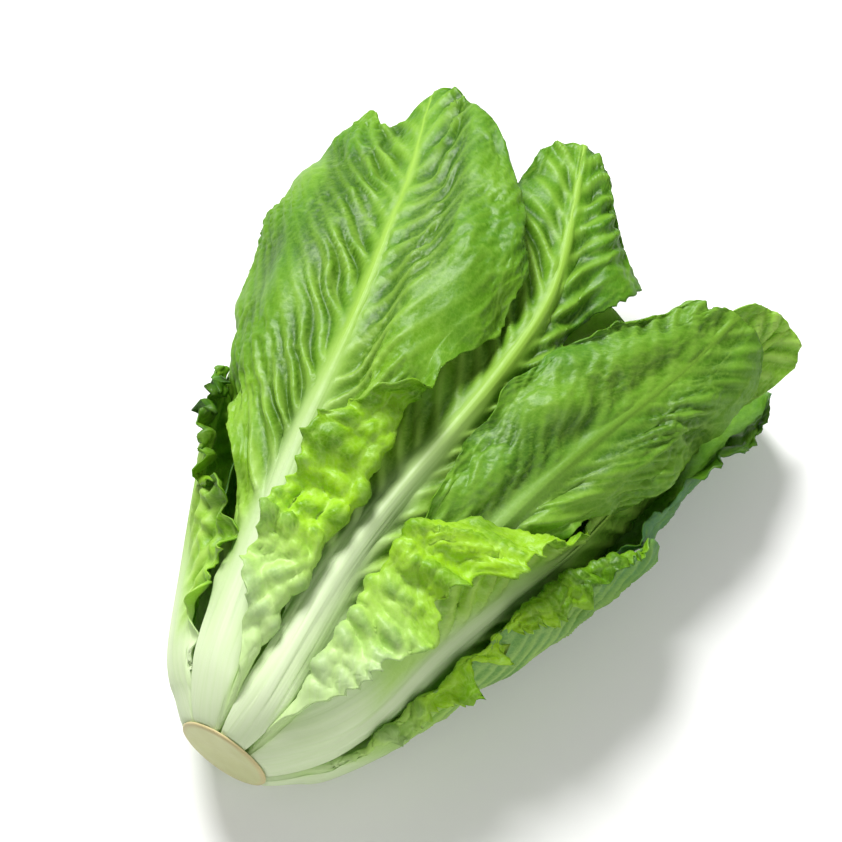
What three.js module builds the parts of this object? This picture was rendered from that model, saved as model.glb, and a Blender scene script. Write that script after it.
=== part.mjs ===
// Romaine lettuce head, cut from its root and lying on its side, in millimetres with +Z up.
// The head's axis runs along +Y, from the cut butt to the leaf tips. Leaves grow in rings from a short
// conical stem. Each leaf is one waved blade with a thick midrib. It lies on a shell round the head's
// axis, and the shells are nested. A point of a shell is given by the angle round the axis (0 is +X, 90
// is up), the share of the outermost shell's size, and the distance up the axis. The head has sagged on
// the table, so the shells are wide, low ellipses with a flat belly.

import * as THREE from "three";
import { mergeVertices } from "three/addons/utils/BufferGeometryUtils.js";

// Driving dimensions of the head.
const BUTT_RADIUS = 19.5;
const SHOULDER_HEIGHT = 5; // the first ring of leaf stalks stands on the butt at this distance from the cut
const SINK = 37; // from the axis down to where the lowest leaf would hang
const TABLE = 35.4; // from the axis down to the table, which flattens the lowest ribs
const STALK_GAP = 0.4; // between a leaf's cut end and the stem that it grew on
const BLADE_HALF_THICKNESS = 0.45;
const NECK = 0.27; // how much narrower than its shell a stalk is where it joins the stem
const NECK_LENGTH = 8;

const DEGREE = Math.PI / 180;
const swell = (y, length, power = 1) => Math.tanh(Math.pow(Math.max(y, 0) / length, power));

// Outermost shell's half width, height above the axis and depth below it, at a distance up the axis.
const halfWidth = (y) => 20 + 16 * swell(y, 14) + 74 * swell(y, 150, 1.25);
const tipDrop = (y) => 10 * Math.pow(Math.max(0, (y - 180) / 110), 2);
const rise = (y) => 20 + 13 * swell(y, 13) + 21 * swell(y, 100, 1.4) - tipDrop(y);
const sink = (y) => 20 + (SINK - 20) * swell(y, 22);

// A point of the shell of size k, with its unit tangent (towards a larger angle) and outward unit normal.
function shellPoint(angle, k, y) {
  const c = Math.cos(angle * DEGREE);
  const s = Math.sin(angle * DEGREE);
  const a = k * halfWidth(y);
  const b = k * (s > 0 ? rise(y) : sink(y));
  const tangentLength = Math.hypot(a * s, b * c);
  const normalLength = Math.hypot(c / a, s / b);
  return {
    at: new THREE.Vector3(a * c, y, b * s),
    tangent: new THREE.Vector3((-a * s) / tangentLength, 0, (b * c) / tangentLength),
    normal: new THREE.Vector3(c / a / normalLength, 0, s / b / normalLength),
  };
}

// A smooth curve through values given at even stations from 0 to 1.
function along(values, t) {
  const last = values.length - 1;
  const place = Math.min(Math.max(t, 0), 1) * last;
  const i = Math.min(Math.floor(place), last - 1);
  const f = place - i;
  const p1 = values[i];
  const p2 = values[i + 1];
  const p0 = i > 0 ? values[i - 1] : 2 * p1 - p2;
  const p3 = i + 2 <= last ? values[i + 2] : 2 * p2 - p1;
  return p1 + 0.5 * f * (p2 - p0 + f * (2 * p0 - 5 * p1 + 4 * p2 - p3 + f * (3 * (p1 - p2) + p3 - p0)));
}

const smoothStep = (low, high, x) => {
  const t = Math.min(Math.max((x - low) / (high - low), 0), 1);
  return t * t * (3 - 2 * t);
};

// The midsurface of a leaf. s runs from the stalk (0) to the tip (1), and v from the left margin (-1) over
// the midrib (0) to the right margin (1). Each side has a fold line, which lies on the shell, and a flap
// past it that turns away from the shell by an angle, outwards if positive, in a bend of radius bend.
const FOLD_AT = 0.62; // share of a side, in v, that lies between the midrib and the fold line

function leafPoint(leaf, s, v) {
  const side = v < 0 ? leaf.left : leaf.right;
  const turn = v < 0 ? 1 : -1;
  const reach = Math.abs(v);
  const flat = Math.min(reach / FOLD_AT, 1);
  const past = Math.max(reach - FOLD_AT, 0) / (1 - FOLD_AT);

  const ribAngle = along(leaf.rib, s);
  const foldAngle = along(side.fold, s);
  const angle = ribAngle + (foldAngle - ribAngle) * flat;
  const ribSize = along(leaf.size, s);
  let k = ribSize + (along(side.size, s) - ribSize) * Math.pow(flat, 1.4);

  // Rows of the blade droop towards the margins near the tip, which rounds its outline. Lobes stand past it.
  const droop = side.shoulder * Math.pow(reach, 2.2) * Math.pow(s, 1.6);
  let y = leaf.from + (leaf.to - leaf.from) * s - droop;
  for (const [at, height, width] of leaf.lobes) {
    y += height * Math.exp(-Math.pow((v - at) / width, 2)) * Math.pow(s, 5);
  }

  k *= 1 - leaf.neck * Math.exp(-(y - leaf.from) / NECK_LENGTH);
  const shell = shellPoint(angle, k, y);
  const point = shell.at.clone();

  // The blade bulges between the midrib and the fold line.
  point.addScaledVector(shell.normal, along(side.bulge, s) * Math.sin(Math.PI * flat));

  // The flap past the fold line.
  const teeth = 1 + leaf.ragged * Math.sin((Math.PI * s * leaf.rows.length) / 2 + side.bend) * past;
  const flapWidth = along(side.flap, s) * past * teeth;
  const fullTurn = along(side.turn, s) * DEGREE;
  const bend = side.bend;
  const turned = Math.min(flapWidth / bend, Math.abs(fullTurn)) * Math.sign(fullTurn || 1);
  const curved = Math.abs(turned) * bend;
  const straight = flapWidth - curved;
  const across = bend * Math.sin(Math.abs(turned)) + straight * Math.cos(turned);
  const out = bend * (1 - Math.cos(turned)) * Math.sign(turned || 1) + straight * Math.sin(turned);
  point.addScaledVector(shell.tangent, turn * across);
  point.addScaledVector(shell.normal, out);

  // Waves of the blade grow towards the margin.
  const wave = leaf.wave;
  const phase = (2 * Math.PI * (y - leaf.from)) / wave.length + wave.start + (v < 0 ? 2.1 : 0);
  const swing = Math.sin(phase) + 0.45 * Math.sin(2.3 * phase + 1.3 + turn);
  const fade = smoothStep(0.06, 0.3, s) * smoothStep(0.25, 1, reach);
  point.addScaledVector(shell.normal, wave.height * side.waves * swing * fade);
  const sway = 0.6 * Math.sin(1.7 * phase + 0.6);
  point.addScaledVector(shell.tangent, turn * wave.height * side.waves * sway * fade);
  return point;
}

// A blade that would reach below the table lies flat on it, at its full thickness.
function settle(outer, inner) {
  const lift = Math.max(-TABLE - Math.min(outer.z, inner.z), 0);
  outer.z += lift;
  inner.z += lift;
}

// How far the blade's outer and inner skins stand off the midsurface: a thin blade with a midrib that is
// fattest at the stalk.
function skinOffsets(leaf, s, v) {
  const stalk = 1 - smoothStep(0, 0.42, s);
  const ribHeight = leaf.stalk * (0.16 + 0.84 * Math.pow(1 - s, 1.7));
  const ribSpread = 0.07 + 0.05 * (1 - s) + 0.75 * stalk;
  const rib = Math.exp(-Math.pow(Math.abs(v) / ribSpread, 2.4));
  return {
    outer: BLADE_HALF_THICKNESS + 0.62 * ribHeight * rib,
    inner: BLADE_HALF_THICKNESS + 0.38 * ribHeight * rib,
  };
}

// A closed blade: an outer and an inner skin with the same triangles, joined round the margin.
function leafGeometry(leaf) {
  const { rows, columns } = leaf;
  const count = rows.length * columns.length;
  const mid = rows.map((s) => columns.map((v) => leafPoint(leaf, s, v)));
  const positions = new Float32Array(count * 6);
  const step = 0.004;
  rows.forEach((s, i) =>
    columns.forEach((v, j) => {
      const alongRib = leafPoint(leaf, Math.min(s + step, 1), v);
      alongRib.sub(leafPoint(leaf, Math.max(s - step, 0), v));
      const across = leafPoint(leaf, s, Math.min(v + step, 1));
      across.sub(leafPoint(leaf, s, Math.max(v - step, -1)));
      const normal = across.cross(alongRib).normalize();
      normal.y *= smoothStep(0, 0.1, s); // the cut end of the stalk is square to the head's axis
      normal.normalize();
      const { outer, inner } = skinOffsets(leaf, s, v);
      const index = i * columns.length + j;
      const outside = mid[i][j].clone().addScaledVector(normal, outer);
      const inside = mid[i][j].clone().addScaledVector(normal, -inner);
      settle(outside, inside);
      outside.toArray(positions, index * 3);
      inside.toArray(positions, (count + index) * 3);
    }),
  );

  const triangles = [];
  const quad = (a, b, c, d) => triangles.push(a, b, c, a, c, d);
  const at = (i, j) => i * columns.length + j;
  for (let i = 0; i + 1 < rows.length; i++) {
    for (let j = 0; j + 1 < columns.length; j++) {
      const corners = [at(i, j), at(i, j + 1), at(i + 1, j + 1), at(i + 1, j)];
      quad(...corners);
      const [a, b, c, d] = corners.map((x) => x + count);
      triangles.push(a, c, b, a, d, c);
    }
  }
  const lastRow = rows.length - 1;
  const lastColumn = columns.length - 1;
  const upTo = (count) => Array.from({ length: count }, (_, n) => n);
  const rim = [
    ...upTo(lastColumn).map((j) => at(0, j)),
    ...upTo(lastRow).map((i) => at(i, lastColumn)),
    ...upTo(lastColumn).map((j) => at(lastRow, lastColumn - j)),
    ...upTo(lastRow).map((i) => at(lastRow - i, 0)),
  ];
  rim.forEach((a, n) => {
    const b = rim[(n + 1) % rim.length];
    quad(b, a, a + count, b + count);
  });

  const geometry = new THREE.BufferGeometry();
  geometry.setAttribute("position", new THREE.BufferAttribute(positions, 3));
  geometry.setIndex(triangles);
  return geometry;
}

// Even rows along the leaf, and columns that crowd at the midrib and at the margins.
const evenly = (count) => Array.from({ length: count }, (_, i) => i / (count - 1));
const mirrored = (half) => [...half.map((x) => -x).reverse(), 0, ...half];
const FINE = { rows: evenly(22), columns: mirrored([0.08, 0.2, 0.4, 0.62, 0.75, 0.88, 1]) };
const PLAIN = { rows: evenly(16), columns: mirrored([0.1, 0.34, 0.62, 0.82, 1]) };
const COARSE = { rows: evenly(13), columns: mirrored([0.12, 0.5, 0.8, 1]) };

// Tables below give values at even stations from stalk to tip. Angles are in degrees, lengths in millimetres.
const straightSide = { bulge: [0, 1, 2, 2, 1], bend: 6, waves: 1, shoulder: 45 };

const LEAVES = [
  {
    name: "leaf_top_left",
    from: SHOULDER_HEIGHT + STALK_GAP,
    to: 275.5,
    rib: [113, 117, 120, 122, 123, 125, 130, 138, 152],
    size: [0.89, 0.89, 0.89, 0.9, 0.9, 0.91, 0.92, 0.92, 0.93],
    left: {
      ...straightSide,
      fold: [134, 134, 133, 141, 158, 168, 171, 172, 170],
      size: [0.89, 0.9, 0.92, 0.95, 1.03, 1.1, 1.15, 1.12, 1.05],
      flap: [0.5, 2, 3, 7, 17, 22, 22, 20, 12],
      turn: [0, 0, 10, 20, -20, -45, -50, -40, -10],
      bulge: [0, 0, 1, 2, 4, 6, 7, 5, 2],
      bend: 13,
      shoulder: 26,
    },
    right: {
      ...straightSide,
      fold: [100, 99, 96, 95, 96, 97, 95, 99, 114],
      size: [0.89, 0.88, 0.89, 0.9, 0.92, 0.95, 0.97, 0.97, 0.96],
      flap: [0.5, 18, 34, 36, 28, 10, 13, 13, 8],
      turn: [160, 160, 170, 168, 150, -10, -35, -30, 0],
      bulge: [0, 0, 0.5, 1, 3, 7, 8, 6, 3],
      bend: 3.5,
      shoulder: 16,
    },
    lobes: [[0.1, 20, 0.24], [-0.6, 7, 0.16], [0.5, 10, 0.22]],
    wave: { height: 2.2, length: 52, start: 0.4 },
    stalk: 6,
  },
  {
    name: "leaf_top_centre",
    from: SHOULDER_HEIGHT + STALK_GAP,
    to: 295.5,
    rib: [76, 81, 85, 84, 82, 81, 83, 92, 103],
    size: [0.88, 0.8, 0.78, 0.77, 0.76, 0.75, 0.74, 0.74, 0.75],
    left: {
      ...straightSide,
      fold: [92, 93, 99, 104, 108, 108, 106, 106, 110],
      size: [0.87, 0.79, 0.77, 0.75, 0.75, 0.74, 0.74, 0.74, 0.75],
      flap: [0.5, 1, 4, 8, 10, 10, 9, 8, 4],
      turn: [0, 0, 0, 0, 0, 0, 0, 10, 25],
      waves: 0.5,
      bulge: [0, 0, 0, 1, 1, 1, 1, 1, 0],
      shoulder: 12,
    },
    right: {
      ...straightSide,
      fold: [58, 65, 68, 64, 61, 63, 74, 76, 93],
      size: [0.87, 0.78, 0.72, 0.7, 0.7, 0.69, 0.68, 0.7, 0.73],
      flap: [0.5, 1, 3, 6, 8, 7, 5, 17, 9],
      turn: [0, 0, 0, 0, 0, 0, -10, -20, -40],
      waves: 0.5,
      bulge: [0, 0, 0, 1, 1, 1, 1, 2, 1],
      shoulder: 14,
    },
    lobes: [],
    wave: { height: 1.8, length: 47, start: 1.4 },
    stalk: 6.5,
  },
  {
    name: "leaf_top_right",
    from: 22.5,
    to: 261.5,
    rib: [46, 49, 50, 50, 50, 48, 44, 40, 38],
    size: [0.33, 0.62, 0.77, 0.83, 0.85, 0.86, 0.87, 0.88, 0.89],
    left: {
      ...straightSide,
      fold: [66, 58, 60, 69, 72, 73, 70, 60, 48],
      size: [0.33, 0.62, 0.78, 0.83, 0.84, 0.84, 0.83, 0.84, 0.87],
      flap: [0.5, 1, 2, 4, 5, 5, 5, 5, 5],
      turn: [0, 0, 0, 20, 30, 20, 0, 0, 0],
      waves: 0.8,
      bulge: [0, 0, 0, 1, 3, 4, 4, 3, 1],
      shoulder: 10,
    },
    right: {
      ...straightSide,
      fold: [26, 38, 41, 42, 36, 28, 25, 22, 26],
      size: [0.33, 0.62, 0.77, 0.82, 0.86, 0.91, 0.92, 0.93, 0.92],
      flap: [0.5, 1, 2, 4, 5, 7, 8, 9, 7],
      turn: [0, 0, 0, 0, 0, -10, -20, -20, -10],
      bulge: [0, 0, 0, 1, 3, 5, 6, 4, 1],
      waves: 0.8,
      shoulder: 8,
    },
    lobes: [],
    wave: { height: 2, length: 44, start: 2.6 },
    stalk: 4.4,
    neck: 0,
  },
  {
    name: "leaf_right",
    from: SHOULDER_HEIGHT + STALK_GAP,
    to: 275.5,
    rib: [20, 19, 27, 27, 21, 17, 17, 17, 18],
    size: [0.88, 0.88, 0.88, 0.87, 0.83, 0.79, 0.79, 0.81, 0.9],
    left: {
      ...straightSide,
      fold: [49, 61, 69, 68, 28, 22, 28, 34, 32],
      size: [0.87, 0.92, 0.95, 0.97, 0.9, 0.78, 0.78, 0.8, 0.9],
      flap: [0.5, 22, 38, 42, 7, 3, 6, 8, 6],
      turn: [120, 155, 170, 170, 80, 0, 0, 0, 0],
      waves: 1,
      bulge: [0, 3, 5, 5, 1, 0, 0, 2, 2],
      bend: 3.5,
      shoulder: 6,
    },
    right: {
      ...straightSide,
      fold: [2, 4, 5, 4, 0, -3, 2, 8, 8],
      size: [0.87, 0.87, 0.88, 0.87, 0.84, 0.82, 0.82, 0.85, 0.94],
      flap: [0.5, 2, 4, 5, 6, 6, 6, 6, 4],
      turn: [0, 0, 0, 0, 0, 0, 0, 10, 20],
      bulge: [0, 0, 0, 0, 0, 0, 0, 1, 1],
      waves: 0.3,
      shoulder: 10,
    },
    lobes: [],
    wave: { height: 2, length: 46, start: 0.2 },
    stalk: 6,
  },
  {
    name: "leaf_lower_right",
    from: SHOULDER_HEIGHT + STALK_GAP,
    to: 167,
    rib: [-30, -30, -28, -24, -18],
    size: [0.9, 1, 1, 1, 1],
    left: {
      ...straightSide,
      fold: [-14, 12, 24, 25, 12],
      size: [0.89, 0.99, 1.0, 1.01, 1.01],
      flap: [0.5, 11, 17, 17, 8],
      turn: [90, 140, 150, 150, 60],
      bulge: [0, 1, 1, 1, 1],
      bend: 3,
      shoulder: 10,
    },
    right: {
      ...straightSide,
      fold: [-50, -56, -58, -56, -50],
      size: [0.89, 0.99, 0.99, 0.99, 0.99],
      flap: [0.5, 4, 6, 7, 6],
      turn: [0, 0, 0, 0, 0],
      bulge: [0, 0, 0, 0, 0],
      waves: 0.2,
      shoulder: 26,
    },
    lobes: [],
    wave: { height: 2, length: 38, start: 1.1 },
    ragged: 0.4,
    stalk: 6.5,
  },
  {
    name: "leaf_under_right",
    from: SHOULDER_HEIGHT + STALK_GAP,
    to: 265.5,
    rib: [-84, -86, -86, -84, -78],
    size: [0.88, 0.9, 0.94, 0.95, 0.95],
    left: {
      ...straightSide,
      fold: [-63, -44, -14, -4, -14],
      size: [0.88, 0.88, 0.91, 0.93, 0.94],
      flap: [0.5, 5, 12, 14, 9],
      turn: [0, 0, -10, -10, 30],
      bulge: [0, 0, 0, 0, 0],
      waves: 0.4,
      shoulder: 26,
    },
    right: {
      ...straightSide,
      fold: [-108, -108, -111, -112, -104],
      size: [0.87, 0.91, 0.97, 0.98, 0.97],
      flap: [0.5, 4, 9, 10, 7],
      turn: [0, 0, 0, 0, 0],
      bulge: [0, 0, 0, 0, 0],
      waves: 0.2,
    },
    lobes: [],
    wave: { height: 1.6, length: 50, start: 3 },
    stalk: 6,
  },
  {
    name: "leaf_under_left",
    from: SHOULDER_HEIGHT + STALK_GAP,
    to: 253.5,
    rib: [222, 224, 224, 222, 218],
    size: [0.88, 0.84, 0.84, 0.84, 0.85],
    left: {
      ...straightSide,
      fold: [244, 247, 254, 253, 240],
      size: [0.87, 0.82, 0.82, 0.82, 0.83],
      flap: [0.5, 4, 9, 10, 7],
      turn: [0, 0, 0, 0, 0],
      bulge: [0, 0, 0, 0, 0],
      waves: 0.2,
    },
    right: {
      ...straightSide,
      fold: [201, 192, 184, 180, 186],
      size: [0.87, 0.83, 0.84, 0.85, 0.86],
      flap: [0.5, 4, 8, 10, 8],
      turn: [0, 0, 0, 0, 0],
      bulge: [0, 0, 0, 0, 0],
      waves: 0.3,
    },
    lobes: [],
    wave: { height: 1.5, length: 48, start: 2 },
    stalk: 6,
  },
  {
    name: "leaf_lower_left",
    from: SHOULDER_HEIGHT + STALK_GAP,
    to: 145,
    rib: [167, 172, 178, 184, 188],
    size: [0.9, 0.95, 1, 1.04, 1.05],
    left: {
      ...straightSide,
      fold: [188, 198, 206, 208, 204],
      size: [0.89, 0.94, 0.97, 0.99, 0.99],
      flap: [0.5, 4, 8, 8, 6],
      turn: [0, 0, 0, 0, 0],
      bulge: [0, 0, 0, 0, 0],
      waves: 0.4,
      shoulder: 24,
    },
    right: {
      ...straightSide,
      fold: [140, 145, 149, 167, 178],
      size: [0.89, 0.94, 0.99, 1.06, 1.06],
      flap: [0.4, 5, 14, 9, 5],
      turn: [0, 10, 15, 30, 20],
      bulge: [0, 0, 0, 0, 0],
      shoulder: 12,
    },
    lobes: [],
    wave: { height: 2, length: 34, start: 0.9 },
    ragged: 0.4,
    stalk: 5,
  },
];

// Leaves of the closed inner rings, each spread evenly to both sides of its midrib.
function innerLeaf({ name, angle, spread, size, from, to, baseSize, grid, stalk, start }) {
  const side = (turn) => ({
    ...straightSide,
    fold: [0.5, 0.75, 1, 1, 0.7].map((share) => angle + turn * share * spread),
    size: [baseSize, size - 0.02, size, size, size],
    flap: [0.5, 3, 7, 8, 5],
    turn: [0, 0, 0, 0, 8],
    bulge: [0, 0, 0.5, 0.5, 0],
    waves: 0.5,
    shoulder: 34,
  });
  return {
    name,
    from,
    to,
    rib: [0, 0, 0, 0, 0].map(() => angle),
    size: [baseSize, size - 0.03, size, size, size],
    left: side(1),
    right: side(-1),
    lobes: [],
    wave: { height: 1.1, length: 45, start },
    stalk,
    neck: 0,
    ragged: 0.1,
    ...grid,
  };
}

const SECOND_RING = { from: 22.5, baseSize: 0.31, stalk: 4.2, grid: PLAIN };
const THIRD_RING = { from: 36, baseSize: 0.13, stalk: 3, grid: COARSE };
const HEART = { from: 48, baseSize: 0.06, stalk: 2, grid: COARSE };
const INNER_LEAVES = [
  { name: "inner_leaf_1", angle: 138, spread: 48, size: 0.65, to: 262, start: 0.3, ...SECOND_RING },
  { name: "inner_leaf_2", angle: -44, spread: 50, size: 0.66, to: 252, start: 3.1, ...SECOND_RING },
  { name: "inner_leaf_3", angle: 228, spread: 48, size: 0.57, to: 240, start: 4.4, ...SECOND_RING },
  { name: "inner_leaf_4", angle: 62, spread: 56, size: 0.5, to: 240, start: 2.5, ...THIRD_RING },
  { name: "inner_leaf_5", angle: 182, spread: 56, size: 0.445, to: 230, start: 0.8, ...THIRD_RING },
  { name: "inner_leaf_6", angle: -58, spread: 58, size: 0.37, to: 222, start: 5.2, ...THIRD_RING },
  { name: "heart_leaf_1", angle: 75, spread: 66, size: 0.25, to: 212, start: 1.2, ...HEART },
  { name: "heart_leaf_2", angle: 255, spread: 66, size: 0.15, to: 200, start: 3.9, ...HEART },
];

// The stem: a cut butt, a shoulder for each ring of leaf stalks, and the growing tip inside the head.
function stemGeometry() {
  const profile = [
    [0, 0],
    [BUTT_RADIUS - 1.2, 0],
    [BUTT_RADIUS - 0.5, 0.8],
    [BUTT_RADIUS, 2.4],
    [BUTT_RADIUS + 0.4, SHOULDER_HEIGHT - 0.6],
    [BUTT_RADIUS, SHOULDER_HEIGHT],
    [12.8, SHOULDER_HEIGHT],
    [12.4, 14],
    [12.2, 22],
    [7.6, 22.1],
    [7.2, 30],
    [7, 35.5],
    [3.4, 35.6],
    [3, 46],
    [0, 47.5],
  ].map(([radius, height]) => new THREE.Vector2(radius, height));
  const geometry = new THREE.LatheGeometry(profile, 28);
  geometry.deleteAttribute("normal");
  geometry.deleteAttribute("uv");
  return mergeVertices(geometry, 1e-3);
}

const LEAF_GREEN = new THREE.Color("#6f9a35");
const HEART_GREEN = new THREE.Color("#b9cf6d");
const STEM_CREAM = new THREE.Color("#d9dcae");
const finish = (color, roughness) => new THREE.MeshStandardMaterial({ color, roughness, metalness: 0 });

const head = new THREE.Group();

function addPiece(name, geometry, color, roughness) {
  geometry.computeVertexNormals();
  const mesh = new THREE.Mesh(geometry, finish(color, roughness));
  mesh.name = name;
  head.add(mesh);
}

addPiece("stem", stemGeometry(), STEM_CREAM, 0.6);
for (const leaf of LEAVES) {
  const geometry = leafGeometry({ neck: NECK, ragged: 0.15, ...FINE, ...leaf });
  addPiece(leaf.name, geometry, LEAF_GREEN, 0.5);
}
for (const leaf of INNER_LEAVES) {
  addPiece(leaf.name, leafGeometry(innerLeaf(leaf)), HEART_GREEN, 0.5);
}

// The origin is the middle of the head's footprint, on the table.
const box = new THREE.Box3().setFromObject(head);
const centre = box.getCenter(new THREE.Vector3());
head.position.set(-centre.x, -centre.y, -box.min.z);

export default head;
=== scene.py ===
import math

import bmesh
import bpy
import numpy as np
from bpy.props import FloatProperty, FloatVectorProperty
from mathutils import Matrix, Vector


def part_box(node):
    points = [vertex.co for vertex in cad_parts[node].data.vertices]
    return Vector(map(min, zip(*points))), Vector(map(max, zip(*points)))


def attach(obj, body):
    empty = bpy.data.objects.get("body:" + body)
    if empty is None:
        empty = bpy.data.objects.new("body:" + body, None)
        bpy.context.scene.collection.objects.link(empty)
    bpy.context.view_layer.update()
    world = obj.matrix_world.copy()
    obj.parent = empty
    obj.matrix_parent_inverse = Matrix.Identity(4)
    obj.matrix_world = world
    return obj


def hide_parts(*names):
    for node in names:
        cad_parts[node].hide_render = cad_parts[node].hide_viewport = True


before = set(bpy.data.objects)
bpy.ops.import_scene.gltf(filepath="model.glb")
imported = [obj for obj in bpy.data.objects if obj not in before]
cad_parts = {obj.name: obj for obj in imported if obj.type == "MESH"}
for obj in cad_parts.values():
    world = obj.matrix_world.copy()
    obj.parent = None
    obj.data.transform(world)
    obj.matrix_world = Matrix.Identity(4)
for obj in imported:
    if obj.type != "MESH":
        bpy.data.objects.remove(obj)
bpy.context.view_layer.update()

bl_info = {
    "name": "Romaine lettuce head",
    "version": (1, 0, 0),
    "blender": (4, 5, 0),
    "location": "3D View > Sidebar > Romaine",
    "description": "Dresses a romaine lettuce head: ribbed, blistered leaves, a cut butt and a pale table",
    "category": "Object",
}

MM = 0.001


def linear(code):
    """A colour written as an sRGB hex value, as linear red, green, blue and alpha."""
    channels = [int(code[i : i + 2], 16) / 255 for i in (1, 3, 5)]
    return [c / 12.92 if c <= 0.04045 else ((c + 0.055) / 1.055) ** 2.4 for c in channels] + [1.0]


# The head's own axis runs from the middle of the cut butt towards the leaf tips, along +Y.
stem_low, stem_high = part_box("stem")
BUTT_CENTRE = Vector(((stem_low[0] + stem_high[0]) / 2, stem_low[1], (stem_low[2] + stem_high[2]) / 2))
BUTT_RADIUS = (stem_high[0] - stem_low[0]) / 2 / MM
TABLE = BUTT_CENTRE.z / MM  # from the axis down to the table

# Leaves lie on nested shells round the axis, in millimetres: see blade_middle.
FIRST_RING_START = 5.4
STALKS_START = 1.6  # the outer stalks run down to just behind the cut
NECK = 0.27  # how much narrower the shells are where the stalks leave the stem
NECK_LENGTH = 8
FOLD_AT = 0.62  # share of the half blade that lies on the shell; the rest is a flap
DEGREE = math.pi / 180

# What a leaf is made of, in millimetres.
BLADE_HALF = 0.45
MARGIN_HALF = 0.31
KEEL = 0.9  # height of the ridge down the back of the midrib
KEEL_WIDTH = 2.4
OUTER_SHARE = 0.62  # share of the midrib's thickness that stands on the back of the leaf
RIB_EDGES = (15, 13, 9.5, 6.5, 4.6, 3.2, 1.9, 1.0)  # half width of the midrib, from stalk to tip
VEIN_SLANT = 1.35  # millimetres that a side vein climbs for each millimetre away from the midrib
ACROSS_VEINS = 1.7  # the same slant as a growth of the climb, square to the vein
BLISTER = 11  # mean distance between the veins of the net
FINE_BLISTER = 4.4


def swell(y, length, power=1.0):
    return np.tanh((np.maximum(y, 0) / length) ** power)


def half_width(y):
    """Half the width of the outermost shell, at a distance up the axis."""
    return 20 + 16 * swell(y, 14) + 74 * swell(y, 150, 1.25)


def rise(y):
    """Height of the outermost shell above the axis."""
    return 20 + 13 * swell(y, 13) + 21 * swell(y, 100, 1.4) - 10 * (np.maximum(0, (y - 180) / 110)) ** 2


def sink(y):
    """Depth of the outermost shell below the axis."""
    return 20 + 17 * swell(y, 22)


def along(values, t):
    """A smooth curve through values given at even stations from 0 to 1."""
    values = np.asarray(values, float)
    last = len(values) - 1
    place = np.clip(t, 0, 1) * last
    i = np.minimum(np.floor(place).astype(int), last - 1)
    f = place - i
    p1, p2 = values[i], values[i + 1]
    p0 = np.where(i > 0, values[np.maximum(i - 1, 0)], 2 * p1 - p2)
    p3 = np.where(i + 2 <= last, values[np.minimum(i + 2, last)], 2 * p2 - p1)
    return p1 + 0.5 * f * (p2 - p0 + f * (2 * p0 - 5 * p1 + 4 * p2 - p3 + f * (3 * (p1 - p2) + p3 - p0)))


def smooth_step(low, high, x):
    t = np.clip((x - low) / (high - low), 0, 1)
    return t * t * (3 - 2 * t)


def ripple(x, y, size, seed):
    """A smooth, seeded unevenness between about -1 and 1, with swells of that size in millimetres."""
    draw = np.random.RandomState(seed)
    total = np.zeros(np.broadcast(x, y).shape)
    for _ in range(7):
        turn = draw.uniform(0, 2 * math.pi)
        wave = 2 * math.pi / (size * draw.uniform(1.4, 2.6))
        total += np.sin(wave * (x * math.cos(turn) + y * math.sin(turn)) + draw.uniform(0, 2 * math.pi))
    return total / 3.0


def cells(x, y, size, seed):
    """Distances to the nearest and the next of scattered points, as shares of their mean distance."""
    places = np.random.RandomState(seed).uniform(0.08, 0.92, (257, 2))
    column, row = np.floor(x / size).astype(int), np.floor(y / size).astype(int)
    nearest, following = np.full(x.shape, 9.0), np.full(x.shape, 9.0)
    for across in (-1, 0, 1):
        for up in (-1, 0, 1):
            place = places[((column + across) * 73 + (row + up) * 151) % 257]
            far = np.hypot(column + across + place[..., 0] - x / size, row + up + place[..., 1] - y / size)
            following = np.minimum(following, np.maximum(far, nearest))
            nearest = np.minimum(nearest, far)
    return nearest, following


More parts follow.
